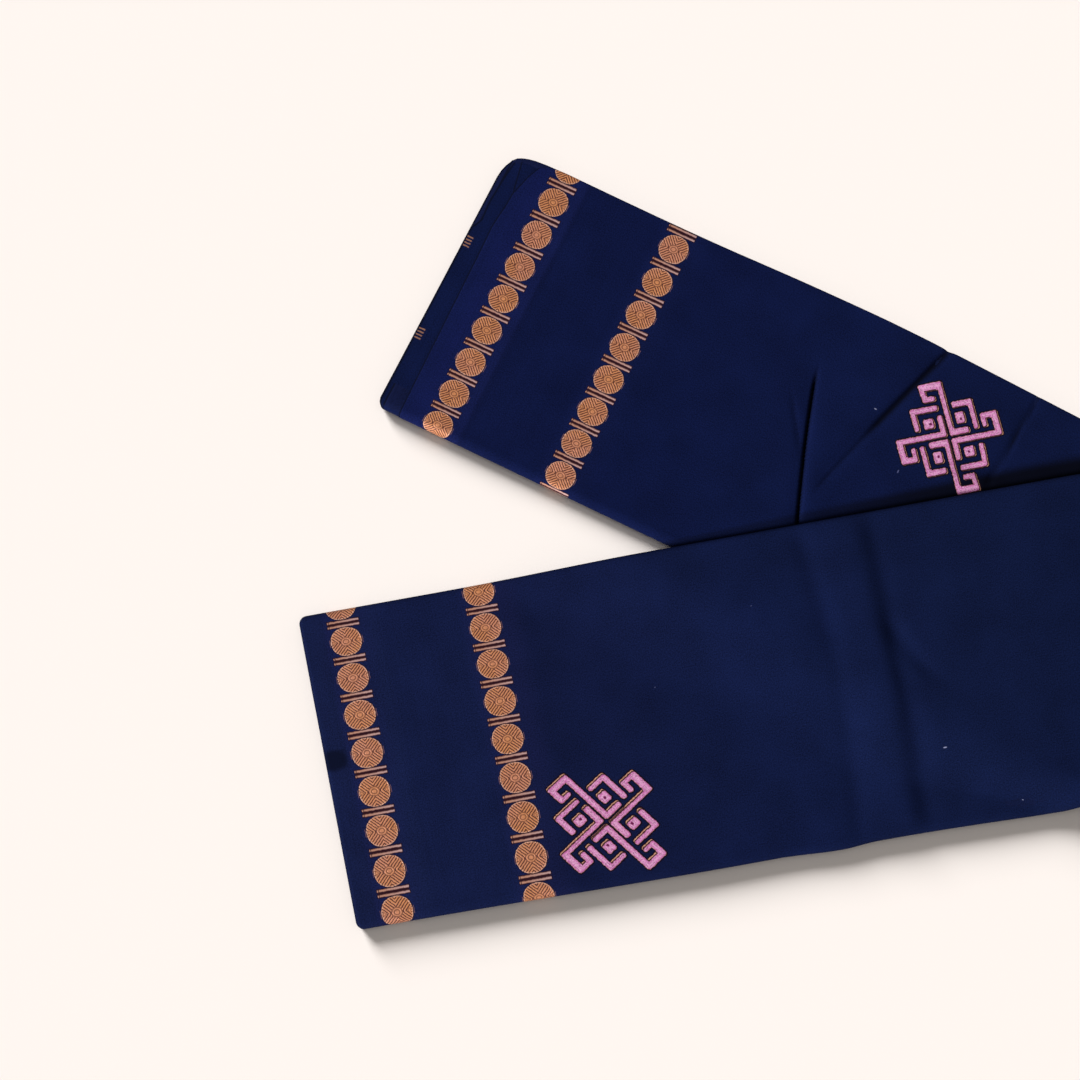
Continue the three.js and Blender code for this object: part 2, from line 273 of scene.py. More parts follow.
# Creases: middle line s = at + lean * t + curve * t * t between two t values, soft depth and its reach on the
# near and on the far side, then depth and reach of the sharp fold at its bottom, in mm. Ridges are negative.
UPPER_CREASES = [
    (298.3, -0.32, 0.0007, -118, 60, 0.9, 7, 4, 3.6, 1.15),
    (309.0, -0.32, 0.0007, -118, 40, -0.25, 7, 12, 0, 1),
    (292.0, -0.65, 0.0, -14, 36, 0.3, 4, 4, 0.9, 1.1),
    (327.8, 0.285, 0.0, -36, 124, 1.3, 8, 4.5, 0.9, 1.3),
    (328.2, 0.285, 0.0, 20, 128, 0.2, 5, 4, 1.7, 2.6),
    (338.5, 0.285, 0.0, -20, 118, -0.2, 6, 12, 0, 1),
    (428.5, 0.045, 0.0, 20, 120, 0.6, 6, 4, 1.7, 1.1),
    (384.0, 1.23, 0.0, -64, 40, 1.7, 16, 12, 0, 1),
    (374.0, 1.23, 0.0, 24, 125, 3.8, 22, 16, 0, 1),
    (463.0, 0.10, 0.0, 50, 118, 0.4, 12, 12, 0, 1),
    (210.0, -0.12, 0.0, -60, 100, 0.35, 18, 18, 0, 1),
]
LOWER_CREASES = [
    (369.0, 0.0, -0.0006, -120, 120, 1.1, 8, 8, 0, 1),
    (399.0, 0.01, -0.0001, -120, 120, -2.1, 21, 12, 0, 1),
    (396.0, 0.0, -0.0001, -120, -30, -0.9, 18, 10, 0, 1),
    (413.5, 0.01, 0.0, -120, 120, 0.9, 7, 8, 0, 1),
    (411.0, -0.05, 0.0, -50, 34, 0.35, 5, 7, 0, 1),
    (429.0, -0.62, 0.004, -24, 48, 1.5, 8, 7, 0, 1),
    (344.0, 0.05, 0.0, -118, 70, -0.35, 12, 9, 0, 1),
    (250.0, 0.25, 0.0, -90, 118, 0.3, 24, 24, 0, 1),
    (478.0, 0.35, 0.0, -60, 118, 0.4, 20, 20, 0, 1),
]
# Painted shade darkens sharp folds: one of this depth, in mm, is as dark as folds get
SHADE_DEPTH = 2.3
DARKEST = 0.9
# The band of painted shade beside the lower limb: it starts past what the camera sees of that limb's height,
# is this wide at this place along the limb, widens by this share, and has this least darkness with this much
# added
BAND_FROM = 4
BAND_WIDTH = 6
BAND_WIDTH_AT = 345
BAND_WIDENS = 0.042
BAND_SHADE = (0.45, 0.47)


def crease_depth(table, s, t):
    """How far all creases press the cloth down at one place, and how far the sharp folds alone do."""
    depth = 0.0
    sharp_depth = 0.0
    for at, lean, curve, t_from, t_to, soft, near, far, sharp, sharp_reach in table:
        if not t_from < t < t_to:
            continue
        off = s - at - lean * t - curve * t * t
        reach = near if off < 0 else far
        if abs(off) > 3.5 * reach:
            continue
        fade = min(22, (t_to - t_from) / 2.5)
        ends = smooth((t - t_from) / fade) * smooth((t_to - t) / fade)
        depth += ends * soft * math.exp(-(off / reach) ** 2)
        sharp_depth += ends * sharp * math.exp(-(off / sharp_reach) ** 2)
    return depth + sharp_depth, sharp_depth


def painted_band_shade(x, y):
    """How much painted shade darkens the upper limb beside the lower limb's layered edge, where it goes in
    under it.
    """
    heading = math.radians(LOWER["heading"])
    dx = x - LOWER["x"]
    dy = y - LOWER["y"]
    along = dx * math.cos(heading) + dy * math.sin(heading)
    gap = dy * math.cos(heading) - dx * math.sin(heading) - half_widths("lower", max(0, along))[1]
    reach = BAND_WIDTH + BAND_WIDENS * max(-60, along - BAND_WIDTH_AT)
    band = 1 - smooth(((gap - BAND_FROM) / reach - 0.4) / 0.6)
    darkness = BAND_SHADE[0] + BAND_SHADE[1] * smooth((along - 330) / 170)
    return darkness * band * smooth((along - 215) / 80)


def slack(s, t, part):
    """Small uneven waves of cloth that was folded by hand, broad ones of 0.45 mm and fine ones of 0.1 mm."""
    seed = 3.7 if part == "upper" else 11.2
    broad = noise.noise(Vector((s / 64, t / 46, seed)))
    fine = noise.noise(Vector((s / 21, t / 17, seed + 5)))
    return 0.45 * broad + 0.1 * fine


def corner_step(limb, t, widths):
    """How far the free end steps back at its rounded corners. A corner is its depth and its width."""
    corners = ((limb["fold_corner"], widths[1] - t), (limb["round_corner"], widths[0] + t))
    for (depth, width), inside in corners:
        if inside < width:
            share = min(1.0, 1 - inside / width)
            return depth * (1 - math.sqrt(1 - share * share))
    return 0.0


def lie(row, t, height, end=0.0, squeeze=0.0):
    """Where a point of the strip lies, in metres, how far along the strip it is, in mm, and how much painted
    shade it gets.

    row is (part, s or angle), t is across the strip, height counts mm up from the upper limb's underside,
    end is how far this layer's selvedge is set back, and squeeze thins the stack under the outer cloth.
    """
    part, along = row
    if part == "turn":
        reach = (STACK - height) * (1 - squeeze) + SEAM / 2
        run = t / math.cos(FOLD_HALF_ANGLE)
        out = math.sin(along) * reach
        x = FOLD_X + run * math.cos(FOLD_HEADING) + out * math.sin(FOLD_HEADING)
        y = FOLD_Y + run * math.sin(FOLD_HEADING) - out * math.cos(FOLD_HEADING)
        z = STACK + SEAM / 2 - math.cos(along) * reach
        return Vector((x, y, z)) * MM, LOWER_LENGTH + (math.pi - along) * reach, 0.0
    upper = part == "upper"
    limb = UPPER if upper else LOWER
    length = UPPER_LENGTH if upper else LOWER_LENGTH
    end_lean = limb["end_slope"] * max(0.0, 1 - along / END_LEAN_FADES)
    near_turn = smooth((along - length + TURN_LEAN_OVER) / TURN_LEAN_OVER)
    turn_lean = math.tan(FOLD_HALF_ANGLE) * (-1 if upper else 1) * near_turn
    widths = half_widths(part, along)
    back = max(end, corner_step(limb, t, widths))
    s = along + (end_lean + turn_lean) * t + back * max(0.0, 1 - along / SET_BACK_FADES)
    x, y = on_limb(limb, s, t)
    level = (height if upper else STACK - height) * (1 - squeeze)
    share = min(1.0, level / (STACK - INSIDE_WALL))
    press, sharp = crease_depth(UPPER_CREASES if upper else LOWER_CREASES, s, t)
    press = (press + slack(s, t, part)) * share * smooth((length - along) / FLAT_BEFORE_TURN)
    ground = 0.0 if upper else lift(x, y, t + widths[0])
    # Painted shade in the cores of sharp folds and, on the upper limb, in the band beside the lower one
    shade = DARKEST * min(1.0, sharp / SHADE_DEPTH)
    if upper:
        shade = max(shade, painted_band_shade(x, y))
    return Vector((x, y, ground + level - press)) * MM, s - WEAVE_LEAN * end_lean * t, shade


def rows_of(part, start, stop, step, fine_from=0, fine_to=0, fine_step=1.0):
    """Stations along a limb, closer together in the creased stretch."""
    stations = []
    s = start
    while s < stop - 0.4 * step:
        stations.append((part, s))
        s += fine_step if fine_from <= s < fine_to else step
    stations.append((part, stop))
    return stations


# Each fold: side of the strip (-1 round, 1 layered), shift from that side's edge, and how far it bulges for
# each mm of its half height
ROUND_FOLD = (-1, ROUND_REACH, ROUND_REACH / (STACK / 2))
LETTER_FOLD = (1, -4.1, 1.15)
TOP_FOLDS = (1, -1.3, 1.1)
SECOND_FOLDS = (1, -0.5, 1.1)
INNER_FOLDS = (-1, 9.5, 1.0)


def run_points(path, level, start, stop, shares, end=0.0):
    """One layer from one side of the strip to the other. shares are counted from the round side."""
    if start[0] > 0:
        shares = [1 - share for share in reversed(shares)]
    for share in shares:
        side = start[0] + (stop[0] - start[0]) * share
        shift = start[1] + (stop[1] - start[1]) * share
        path.append((side, shift, level, end))


def turn_points(path, fold, level_from, level_to, steps, end_from=0.0, end_to=0.0, extra=0.0):
    """A fold round which the cloth turns from one layer into the next."""
    side, shift, bulge = fold
    middle = (level_from + level_to) / 2
    half = (level_to - level_from) / 2
    reach = (abs(half) * PITCH * bulge + extra) * side
    for i in range(1, steps):
        angle = math.pi * i / steps
        end = end_from + (end_to - end_from) * i / steps
        path.append((side, shift + math.sin(angle) * reach, middle - math.cos(angle) * half, end))


def closer_at_ends(count):
    """Shares from 0 to 1 in steps that are shorter towards both ends."""
    return [i / count / 2 + (1 - math.cos(math.pi * i / count)) / 4 for i in range(count + 1)]


def plan_across(point, row):
    """Place across the strip of a path point at one row."""
    round_side, layered_side = half_widths(row[0], row[1])
    return point[0] * (layered_side if point[0] > 0 else round_side) + point[1]


# The turn counts as this far from the selvedge, in mm, and cloth colours are given up to there
TONES_TO = 600


def cloth_grid(rows, path, ends, squeeze, face=None, direction=1):
    """A grid of cloth laid along rows and path. It keeps each point's place in the cloth, in mm, and its
    painted shade.

    The place is the distance along the strip, across it and from the selvedge. Across is 0 where the layer
    called face passes the middle of the strip.
    """
    mesh = bmesh.new()
    bmesh.ops.create_grid(mesh, x_segments=len(rows) - 1, y_segments=len(path) - 1, size=1)
    place = mesh.verts.layers.float_vector.new("cloth_place")
    shaded = mesh.verts.layers.float.new("fold_shade")
    laid = {}
    for index, row in enumerate(rows):
        length = 0.0
        lengths = []
        zero = 0.0
        before = None
        for point in path:
            t = plan_across(point, row)
            if before:
                step = math.hypot(t - before[0], (point[2] - before[1]) * PITCH)
                if point[2] == face and before[1] == face and t * before[0] <= 0 and t != before[0]:
                    zero = length + step * before[0] / (before[0] - t)
                length += step
            lengths.append((t, length))
            before = (t, point[2])
        for number, (point, (t, along)) in enumerate(zip(path, lengths)):
            height = (point[2] + 0.5) * PITCH
            spot, s, shade = lie(row, t, height, ends(row[0], point, t), squeeze(row, point, t))
            from_selvedge = TONES_TO if row[0] == "turn" else row[1]
            laid[index, number] = (spot, Vector((s, direction * (along - zero), from_selvedge)), shade)
    for vert in mesh.verts:
        index = round((vert.co.x + 1) / 2 * (len(rows) - 1))
        number = round((vert.co.y + 1) / 2 * (len(path) - 1))
        vert.co, vert[place], vert[shaded] = laid[index, number]
    return mesh


def sheet_piece(name, mesh, thickness, material):
    """Turns a laid grid into a piece of cloth, with its thickness on the inner side."""
    data = bpy.data.meshes.new(name)
    mesh.to_mesh(data)
    mesh.free()
    data.shade_smooth()
    piece = bpy.data.objects.new(name, data)
    bpy.context.collection.objects.link(piece)
    wall = piece.modifiers.new("thickness", "SOLIDIFY")
    wall.thickness = thickness * MM
    wall.offset = -1
    data.materials.append(material)
    lit_by_cloth_light.objects.link(piece)
    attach(piece, "root")
    return piece


# Cotton with its woven border
# Fine navy cotton, matt. Two rows of discs between short double bars are woven in copper zari, parallel to
# each selvedge. One fret in pink over gold-brown paste is printed on each limb with a block.
ROW_PITCH = 27.7
# In mm: a disc's half sizes along and across the strip, its eye and the rings in it, the figure at its sides,
# the specks beside its eye, the loose threads beside the disc, and the double bars
DISC_LONG = 11.0
DISC_ROUND = 10.65
DISC_SQUARENESS = 2.2
EYE = 3.4
EYE_RINGS = (1.65, 3.15)
SIDE_FIGURE_AT = 8.9
SIDE_FIGURE_HALF = 2.0
SPECKS_AT = 4.3
LOOSE_THREADS_AT = 11.75
BAR_HALF_LENGTH = 11.4
BAR_MIDDLE = 1.75
BAR_HALF = 0.95
# From one ridge of zari to the next, measured along or across the strip
RIDGE_PERIOD = 2.5
# The fret in units of its own grid, one quarter of it: the other three are this one turned by right angles
FRET_BARS = [
    ("arm", 0.3, 1.75, 0.2, 13.3),
    ("end of the arm", -0.5, 1.75, 11.45, 13.3),
    ("foot", 0.3, 5.5, 0.2, 1.8),
    ("square", 2.75, 5.2, 2.65, 5.45),
    ("bracket", 2.6, 8.0, 6.5, 8.0),
    ("bracket side", 6.55, 8.0, 0.75, 8.0),
    ("end of the next arm", 11.45, 13.3, -0.5, 4.2),
    ("its hook", 8.8, 13.3, 2.7, 4.2),
    ("its hook's tip", 8.8, 10.2, 0.75, 4.2),
]
FRET_ROUNDING = 0.55
SQUARE_MIDDLE = (3.95, 3.75, 0)


def fret_distance(tree, at):
    """Distance in grid units to the fret's round-cornered bars, and to the middle of its square."""
    parts = add_node(tree, "SeparateXYZ", [at]).node
    below = add_node(tree, "Math", [parts.outputs[1], 0.0], operation="LESS_THAN")
    flip = add_node(tree, "Math", [below, -2.0, 1.0], operation="MULTIPLY_ADD")
    upper = add_node(tree, "VectorMath", {0: at, "Scale": flip}, operation="SCALE")
    half = add_node(tree, "SeparateXYZ", [upper]).node
    left = add_node(tree, "Math", [half.outputs[0], 0.0], operation="LESS_THAN")
    minus_x = add_node(tree, "Math", [half.outputs[0], -1.0], operation="MULTIPLY")
    swapped = add_node(tree, "CombineXYZ", [half.outputs[1], minus_x])
    quarter = add_node(tree, "Mix", {0: left, 4: upper, 5: swapped}, out=1, data_type="VECTOR")
    nearest = 99.0
    for _, u_from, u_to, w_from, w_to in FRET_BARS:
        middle = ((u_from + u_to) / 2, (w_from + w_to) / 2, 0)
        core = ((u_to - u_from) / 2 - FRET_ROUNDING, (w_to - w_from) / 2 - FRET_ROUNDING, 0)
        off = add_node(tree, "VectorMath", [quarter, middle], operation="SUBTRACT")
        away = add_node(tree, "VectorMath", [off], operation="ABSOLUTE")
        past = add_node(tree, "VectorMath", [away, core], operation="SUBTRACT")
        outside = add_node(tree, "VectorMath", [past, (0, 0, 0)], operation="MAXIMUM")
        from_core = add_node(tree, "VectorMath", [outside], out=1, operation="LENGTH")
        nearest = add_node(tree, "Math", [nearest, from_core], operation="MINIMUM")
    block = add_node(tree, "Math", [nearest, FRET_ROUNDING], operation="SUBTRACT")
    return block, add_node(tree, "VectorMath", [quarter, SQUARE_MIDDLE], out=1, operation="DISTANCE")


def small_mark(tree, place, mark):
    """A soft-edged mark, "round" or "square": middle s and t, half sizes, edge width and strength."""
    shape, s, t, half_s, half_t, edge, strength = mark
    off = add_node(tree, "VectorMath", [place, (s, t, 0)], operation="SUBTRACT")
    scaled = add_node(tree, "VectorMath", [off, (half_s, half_t, 1)], operation="DIVIDE")
    if shape == "round":
        size = add_node(tree, "VectorMath", [scaled], out=1, operation="LENGTH")
    else:
        away = add_node(tree, "VectorMath", [scaled], operation="ABSOLUTE")
        sides = add_node(tree, "SeparateXYZ", [away]).node
        size = add_node(tree, "Math", sides.outputs[:2], operation="MAXIMUM")
    return add_node(tree, "MapRange", [size, 1 - edge, 1 + edge, strength, 0.0],
                    interpolation_type="SMOOTHSTEP")


def navy_cotton(name, tones, rows=None, fret=None, marks=(), selvedge=0.9):
    """Navy cotton of one stretch.

    tones are (place along the strip, colour). rows are (place, first disc across the strip) twice, then how
    much the cloth is drawn out across the strip. fret is its middle, the headings and unit sizes of its two
    directions and the slip of its pink. marks are small marks with their colours, and selvedge is how dark
    the line along the selvedge is.
    """
    material = bpy.data.materials.new(name)
    material.use_nodes = True
    tree = material.node_tree
    surface = tree.nodes["Principled BSDF"]
    surface.inputs["Sheen Weight"].default_value = 0.012
    surface.inputs["Sheen Roughness"].default_value = 0.4
    surface.inputs["Sheen Tint"].default_value = linear("#7C86D8")
    in_cloth = add_node(tree, "Attribute", out="Vector", attribute_name="cloth_place")
    from_selvedge = add_node(tree, "SeparateXYZ", [in_cloth], out=2)
    place = add_node(tree, "VectorMath", [in_cloth, (1, 1, 0)], operation="MULTIPLY")
    s = add_node(tree, "SeparateXYZ", [place])

    # Cloth colour, which changes with the distance from the selvedge
    depth = add_node(tree, "Math", [s, 1 / TONES_TO], operation="MULTIPLY", use_clamp=True)
    ground = add_node(tree, "ValToRGB", [depth])
    ramp = ground.node.color_ramp
    while len(ramp.elements) < len(tones):
        ramp.elements.new(0.5)
    for element, (at, colour) in zip(ramp.elements, tones):
        element.position = at / TONES_TO
        element.color = linear(colour)

    # Slubs are drawn at 1 mm, because single threads of 0.25 mm are too fine to show. Clouds are 35 mm wide,
    # streaks follow the border, and uneven weaving moves every woven and printed edge a little
    noises = []
    for per_s, per_t, detail in ((1.25, 1.05, 3), (0.028, 0.028, 4), (0.5, 0.01, 2), (0.55, 0.55, 2)):
        scaled = add_node(tree, "VectorMath", [place, (per_s, per_t, 0)], operation="MULTIPLY")
        cloudy = add_node(tree, "TexNoise", {"Vector": scaled, "Scale": 1.0, "Detail": detail})
        noises.append(cloudy.node.outputs)
    slubs, clouds, streaks, uneven = [outputs[0] for outputs in noises]
    near_row = add_node(tree, "MapRange", [s, 45, 190, 0.32, 0.0], interpolation_type="SMOOTHSTEP")
    streaks = add_node(tree, "Math", [streaks, 0.5], operation="SUBTRACT")
    mottle = add_node(tree, "Math", [slubs, 2.5, -0.6], operation="MULTIPLY_ADD")
    mottle = add_node(tree, "Math", [clouds, 0.7, mottle], operation="MULTIPLY_ADD")
    value = add_node(tree, "Math", [streaks, near_row, mottle], operation="MULTIPLY_ADD")
    colour = add_node(tree, "HueSaturation", {"Color": ground, "Value": value})
    height = add_node(tree, "Math", [slubs, 0.09], operation="MULTIPLY")
    ragged = add_node(tree, "VectorMath", [noises[3][1], (0.5, 0.5, 0.5)], operation="SUBTRACT")
    woven = add_node(tree, "VectorMath", [ragged, (0.9, 0.9, 0), place], operation="MULTIPLY_ADD")
    line = add_node(tree, "MapRange", [from_selvedge, 0.8, 2.0, selvedge, 0.0],
                    interpolation_type="SMOOTHSTEP")
    colour = add_node(tree, "Mix", {0: line, 6: colour, 7: linear("#050818")}, out=2, data_type="RGBA")

    # Painted shade: fold_shade darkens the cloth at the bottom of sharp creases and where it goes in under
    # the other limb, where little light reaches
    shade = add_node(tree, "Attribute", out="Fac", attribute_name="fold_shade")
    colour = add_node(tree, "Mix", {0: shade, 6: colour, 7: linear("#04050E")}, out=2, data_type="RGBA")

    zari = None
    if rows:
        colour, height, zari = woven_rows(tree, woven, s, rows, slubs, uneven, clouds, colour, height)
    if fret:
        colour, height = printed_fret(tree, place, ragged, fret, slubs, uneven, colour, height)
    for mark in marks:
        amount = small_mark(tree, woven, mark[:-1])
        colour = add_node(tree, "Mix", {0: amount, 6: colour, 7: linear(mark[-1])}, out=2, data_type="RGBA")

    bump = add_node(tree, "Bump", {"Height": height, "Distance": MM, "Strength": 1.0})
    tree.links.new(colour, surface.inputs["Base Color"])
    tree.links.new(bump, surface.inputs["Normal"])
    surface.inputs["Roughness"].default_value = 0.9
    surface.inputs["Specular IOR Level"].default_value = 0.05
    if zari:
        for socket, on_cotton, on_zari in (("Roughness", 0.9, 0.48), ("Specular IOR Level", 0.05, 0.4),
                                           ("Metallic", 0.0, 0.25)):
            blend = add_node(tree, "MapRange", [zari, 0.0, 1.0, on_cotton, on_zari])
            tree.links.new(blend, surface.inputs[socket])
    return material


def woven_rows(tree, woven, s, rows, slubs, uneven, clouds, colour, height):
    """Adds the two rows of discs and bars to a cloth's colour and height, and gives the share of zari."""
    first, second, (drawn, drawn_more) = rows
    phases = [t * (drawn + drawn_more * t) for t in (first[1], second[1])]
    axes = add_node(tree, "SeparateXYZ", [woven]).node
    in_second = add_node(tree, "Math", [s, (first[0] + second[0]) / 2], operation="GREATER_THAN")
    row_s = add_node(tree, "Math", [in_second, second[0] - first[0], first[0]], operation="MULTIPLY_ADD")
    phase = add_node(tree, "Math", [in_second, phases[1] - phases[0], phases[0]], operation="MULTIPLY_ADD")
    x = add_node(tree, "Math", [axes.outputs[0], row_s], operation="SUBTRACT")
    stretch = add_node(tree, "Math", [axes.outputs[1], drawn_more, drawn], operation="MULTIPLY_ADD")
    along = add_node(tree, "Math", [axes.outputs[1], stretch], operation="MULTIPLY")
    along = add_node(tree, "Math", [along, phase], operation="SUBTRACT")
    next_to = add_node(tree, "Math", [along, ROW_PITCH / 2], operation="ADD")
    y = add_node(tree, "Math", [along, -ROW_PITCH / 2, ROW_PITCH / 2], operation="WRAP")
    y_bar = add_node(tree, "Math", [next_to, -ROW_PITCH / 2, ROW_PITCH / 2], operation="WRAP")
    far_x = add_node(tree, "Math", [x], operation="ABSOLUTE")
    far_y = add_node(tree, "Math", [y], operation="ABSOLUTE")

    # Disc: zari floats in chevrons round a ringed eye, with a little diamond at either side and a light rim
    x_part = add_node(tree, "Math", [far_x, 1 / DISC_LONG], operation="MULTIPLY")
    x_part = add_node(tree, "Math", [x_part, DISC_SQUARENESS], operation="POWER")
    y_part = add_node(tree, "Math", [far_y, 1 / DISC_ROUND], operation="MULTIPLY")
    y_part = add_node(tree, "Math", [y_part, DISC_SQUARENESS], operation="POWER")
    radius = add_node(tree, "Math", [x_part, y_part], operation="ADD")
    radius = add_node(tree, "Math", [radius, 1 / DISC_SQUARENESS], operation="POWER")
    chevron = add_node(tree, "Math", [far_y, far_x], operation="SUBTRACT")
    to_side = add_node(tree, "Math", [far_x, SIDE_FIGURE_AT], operation="SUBTRACT")
    to_side = add_node(tree, "Math", [to_side], operation="ABSOLUTE")
    diamond = add_node(tree, "Math", [to_side, far_y], operation="ADD")
    in_diamond = add_node(tree, "Math", [diamond, SIDE_FIGURE_HALF], operation="LESS_THAN")
    eye_x = add_node(tree, "Math", [x, 1 / 1.2], operation="MULTIPLY")
    eye = add_node(tree, "VectorMath", [add_node(tree, "CombineXYZ", [eye_x, y])], out=1, operation="LENGTH")
    in_eye = add_node(tree, "Math", [eye, EYE], operation="LESS_THAN")
    lines = add_node(tree, "Mix", {0: in_diamond, 2: chevron, 3: diamond}, data_type="FLOAT")
    turns = add_node(tree, "Math", [lines, math.tau / RIDGE_PERIOD], operation="MULTIPLY")
    wave = add_node(tree, "Math", [turns], operation="COSINE")
    ridge = add_node(tree, "MapRange", [wave, -0.7, 0.1, 0.0, 1.0])
    softened = add_node(tree, "Math", [in_diamond, 0.55], operation="MULTIPLY")
    softened = add_node(tree, "Math", [softened, in_eye], operation="MAXIMUM")
    ridge = add_node(tree, "Mix", {0: softened, 2: ridge, 3: 1.0}, data_type="FLOAT")
    for ring in EYE_RINGS:
        to_ring = add_node(tree, "Math", [eye, ring], operation="SUBTRACT")
        to_ring = add_node(tree, "Math", [to_ring], operation="ABSOLUTE")
        clear = add_node(tree, "MapRange", [to_ring, 0.2, 0.5, 0.3, 1.0])
        ridge = add_node(tree, "Math", [ridge, clear], operation="MINIMUM")
    # Two dark specks beside the eye, where the zari turns back
    speck_x = add_node(tree, "Math", [far_x, SPECKS_AT], operation="SUBTRACT")
    speck = add_node(tree, "VectorMath", [add_node(tree, "CombineXYZ", [speck_x, far_y])], out=1,
                     operation="LENGTH")
    clear = add_node(tree, "MapRange", [speck, 0.5, 0.9, 0.0, 1.0])
    ridge = add_node(tree, "Math", [ridge, clear], operation="MINIMUM")
    # The rim shows as a row of light dots, most of all at its outer side
    rim = add_node(tree, "MapRange", [radius, 0.93, 0.96, 0.0, 1.0])
    dotted = add_node(tree, "MapRange", [slubs, 0.44, 0.52, 0.0, 1.0])
    rim = add_node(tree, "Math", [rim, dotted], operation="MULTIPLY")
    ridge = add_node(tree, "Math", [ridge, rim], operation="MAXIMUM")
    in_disc = add_node(tree, "MapRange", [radius, 0.985, 1.015, 1.0, 0.0], interpolation_type="SMOOTHSTEP")
    disc_edge = add_node(tree, "MapRange", [radius, 1.02, 1.07, 1.0, 0.0], interpolation_type="SMOOTHSTEP")
    # Loose threads of zari that stand beside the disc
    beside = add_node(tree, "Math", [far_x, LOOSE_THREADS_AT], operation="SUBTRACT")
    beside = add_node(tree, "Math", [beside], operation="ABSOLUTE")
    beside = add_node(tree, "MapRange", [beside, 0.08, 0.3, 0.7, 0.0], interpolation_type="SMOOTHSTEP")
    in_reach = add_node(tree, "MapRange", [far_y, 2.2, 3.2, 1.0, 0.0], interpolation_type="SMOOTHSTEP")
    beside = add_node(tree, "Math", [beside, in_reach], operation="MULTIPLY")

    # Double bar between two discs, with a small tick at its outer end and a dark gap in its middle
    from_gap = add_node(tree, "Math", [y_bar], operation="ABSOLUTE")
    from_bar = add_node(tree, "Math", [from_gap, BAR_MIDDLE], operation="SUBTRACT")
    from_bar = add_node(tree, "Math", [from_bar], operation="ABSOLUTE")
    past_end = add_node(tree, "Math", [far_x, BAR_HALF_LENGTH - BAR_HALF], operation="SUBTRACT")
    bar = add_node(tree, "Math", [from_bar, past_end], operation="MAXIMUM")
    in_bar = add_node(tree, "MapRange", [bar, BAR_HALF - 0.12, BAR_HALF + 0.05, 1.0, 0.0])
    bar_edge = add_node(tree, "MapRange", [bar, BAR_HALF + 0.3, BAR_HALF + 0.7, 1.0, 0.0])
    gap_width = add_node(tree, "MapRange", [from_gap, 0.9, 1.0, 1.0, 0.0])
    gap_length = add_node(tree, "MapRange", [far_x, BAR_HALF_LENGTH - 0.6, BAR_HALF_LENGTH - 0.2, 1.0, 0.0])
    between_bars = add_node(tree, "Math", [gap_width, gap_length], operation="MULTIPLY")
    knot = add_node(tree, "Math", [x, BAR_HALF_LENGTH - 1.1], operation="ADD")
    knot = add_node(tree, "Math", [knot], operation="ABSOLUTE")
    notch = add_node(tree, "MapRange", [knot, 0.22, 0.45, 0.8, 0.0], interpolation_type="SMOOTHSTEP")
    crown = add_node(tree, "MapRange", [from_bar, BAR_HALF, 0.15, 0.0, 1.0])

    # Zari is copper wire on a silk core: brighter on the ridges, dark maroon where it dips
    gloss = add_node(tree, "Math", [slubs, uneven], operation="ADD")
    gloss = add_node(tree, "MapRange", [gloss, 0.75, 1.25, 0.82, 1.18])
    old_gold = add_node(tree, "MapRange", [clouds, 0.4, 0.6, 0.0, 1.0])
    to_right = add_node(tree, "MapRange", [x, -7.0, 11.0, 0.0, 1.0])
    light = add_node(tree, "Mix", {0: old_gold, 6: linear("#D28C6C"), 7: linear("#D48C5C")}, out=2,
                     data_type="RGBA")
    copper = add_node(tree, "Mix", {0: ridge, 6: linear("#5E3028"), 7: light}, out=2, data_type="RGBA")
    copper = add_node(tree, "Mix", {0: rim, 6: copper, 7: linear("#DFAE98")}, out=2, data_type="RGBA")
    copper = add_node(tree, "HueSaturation", {"Color": copper, "Value": gloss})
    bar_light = add_node(tree, "Mix", {0: to_right, 6: linear("#C8927A"), 7: linear("#CFA9A6")}, out=2,
                         data_type="RGBA")
    bar_copper = add_node(tree, "Mix", {0: crown, 6: linear("#5E3434"), 7: bar_light}, out=2,
                          data_type="RGBA")
    bar_copper = add_node(tree, "Mix", {0: notch, 6: bar_copper, 7: linear("#2B1520")}, out=2,
                          data_type="RGBA")
    edge = add_node(tree, "Math", [disc_edge, bar_edge], operation="MAXIMUM")
    for laid, amount in ((linear("#1C0B22"), edge), (linear("#2C121C"), between_bars),
                         (linear("#8A6468"), beside), (copper, in_disc), (bar_copper, in_bar)):
        colour = add_node(tree, "Mix", {0: amount, 6: colour, 7: laid}, out=2, data_type="RGBA")
    zari = add_node(tree, "Math", [in_disc, in_bar], operation="MAXIMUM")
    on_disc = add_node(tree, "Math", [ridge, in_disc], operation="MULTIPLY")
    on_bar = add_node(tree, "Math", [crown, in_bar], operation="MULTIPLY")
    raised = add_node(tree, "Math", [on_disc, on_bar], operation="MAXIMUM")
    return colour, add_node(tree, "Math", [raised, 0.16, height], operation="MULTIPLY_ADD"), zari


